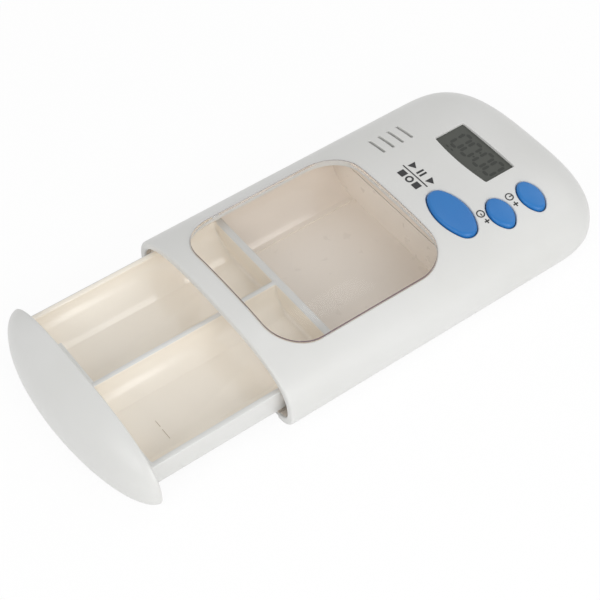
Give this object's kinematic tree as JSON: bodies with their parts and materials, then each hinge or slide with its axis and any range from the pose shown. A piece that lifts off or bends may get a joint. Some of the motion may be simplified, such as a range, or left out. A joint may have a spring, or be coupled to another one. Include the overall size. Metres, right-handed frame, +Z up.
{
  "type": "automatic pill dispenser",
  "caption": "Pocket pill box: a sliding drawer with coved compartments under a clear window, and a countdown timer with a display and domed oval push buttons",
  "frame": {"origin": "centre of the housing's flat underside", "axes": "+Z up out of the crowned top, +Y toward the display end, -Y toward the drawer, X across"},
  "size_m": [0.054, 0.1258, 0.0158],
  "materials": {
    "housing_white": "smooth, slightly glossy moulded plastic",
    "tray_cream": "polished moulded plastic",
    "clear_window": "polished clear plastic",
    "display_glass": "dark grey-green liquid crystal display",
    "button_blue": "satin moulded plastic",
    "black_plastic": "matte",
    "grey_rubber": "matte silicone",
    "board_green": "solder mask on glass laminate",
    "part_ceramic": "fired ceramic",
    "screw_steel": "plated steel",
    "contact_brass": "spring brass"
  },
  "bodies": {
    "housing": {"upper_housing": "housing_white", "base_plate": "housing_white", "housing_screws": "screw_steel", "window_lens": "clear_window", "lcd_panel": "display_glass", "lcd_frame": "black_plastic", "zebra_strips": "grey_rubber", "circuit_board": "board_green", "board_screws": "screw_steel", "chip_cover": "black_plastic", "quartz_crystal": "screw_steel", "board_parts": "part_ceramic", "buzzer": "black_plastic", "keypad": "grey_rubber", "coin_cell": "screw_steel", "negative_contact": "contact_brass", "positive_contact": "contact_brass"},
    "start_stop_button": {"start_stop_button": "button_blue"},
    "hour_button": {"hour_button": "button_blue"},
    "minute_button": {"minute_button": "button_blue"},
    "battery_door": {"battery_door": "housing_white"},
    "drawer": {"tray": "tray_cream", "tray_front": "housing_white"}
  },
  "joints": [
    {"name": "drawer_slide", "type": "slide", "parent": "housing", "child": "drawer", "axis": [0, -1, 0], "range_m": [-0.0296, 0.012]},
    {"name": "start_stop_press", "type": "slide", "parent": "housing", "child": "start_stop_button", "axis": [0, 0, -1], "range_m": [0, 0.0005], "stiffness_N_per_m": 900, "springref_m": -0.0006},
    {"name": "hour_press", "type": "slide", "parent": "housing", "child": "hour_button", "axis": [0, 0, -1], "range_m": [0, 0.0005], "stiffness_N_per_m": 900, "springref_m": -0.0006},
    {"name": "minute_press", "type": "slide", "parent": "housing", "child": "minute_button", "axis": [0, 0, -1], "range_m": [0, 0.0005], "stiffness_N_per_m": 900, "springref_m": -0.0006},
    {"name": "battery_door_turn", "type": "hinge", "parent": "housing", "child": "battery_door", "pos_m": [0, 0.02259, 0], "axis": [0, 0, 1], "range_deg": [0, 45]}
  ]
}
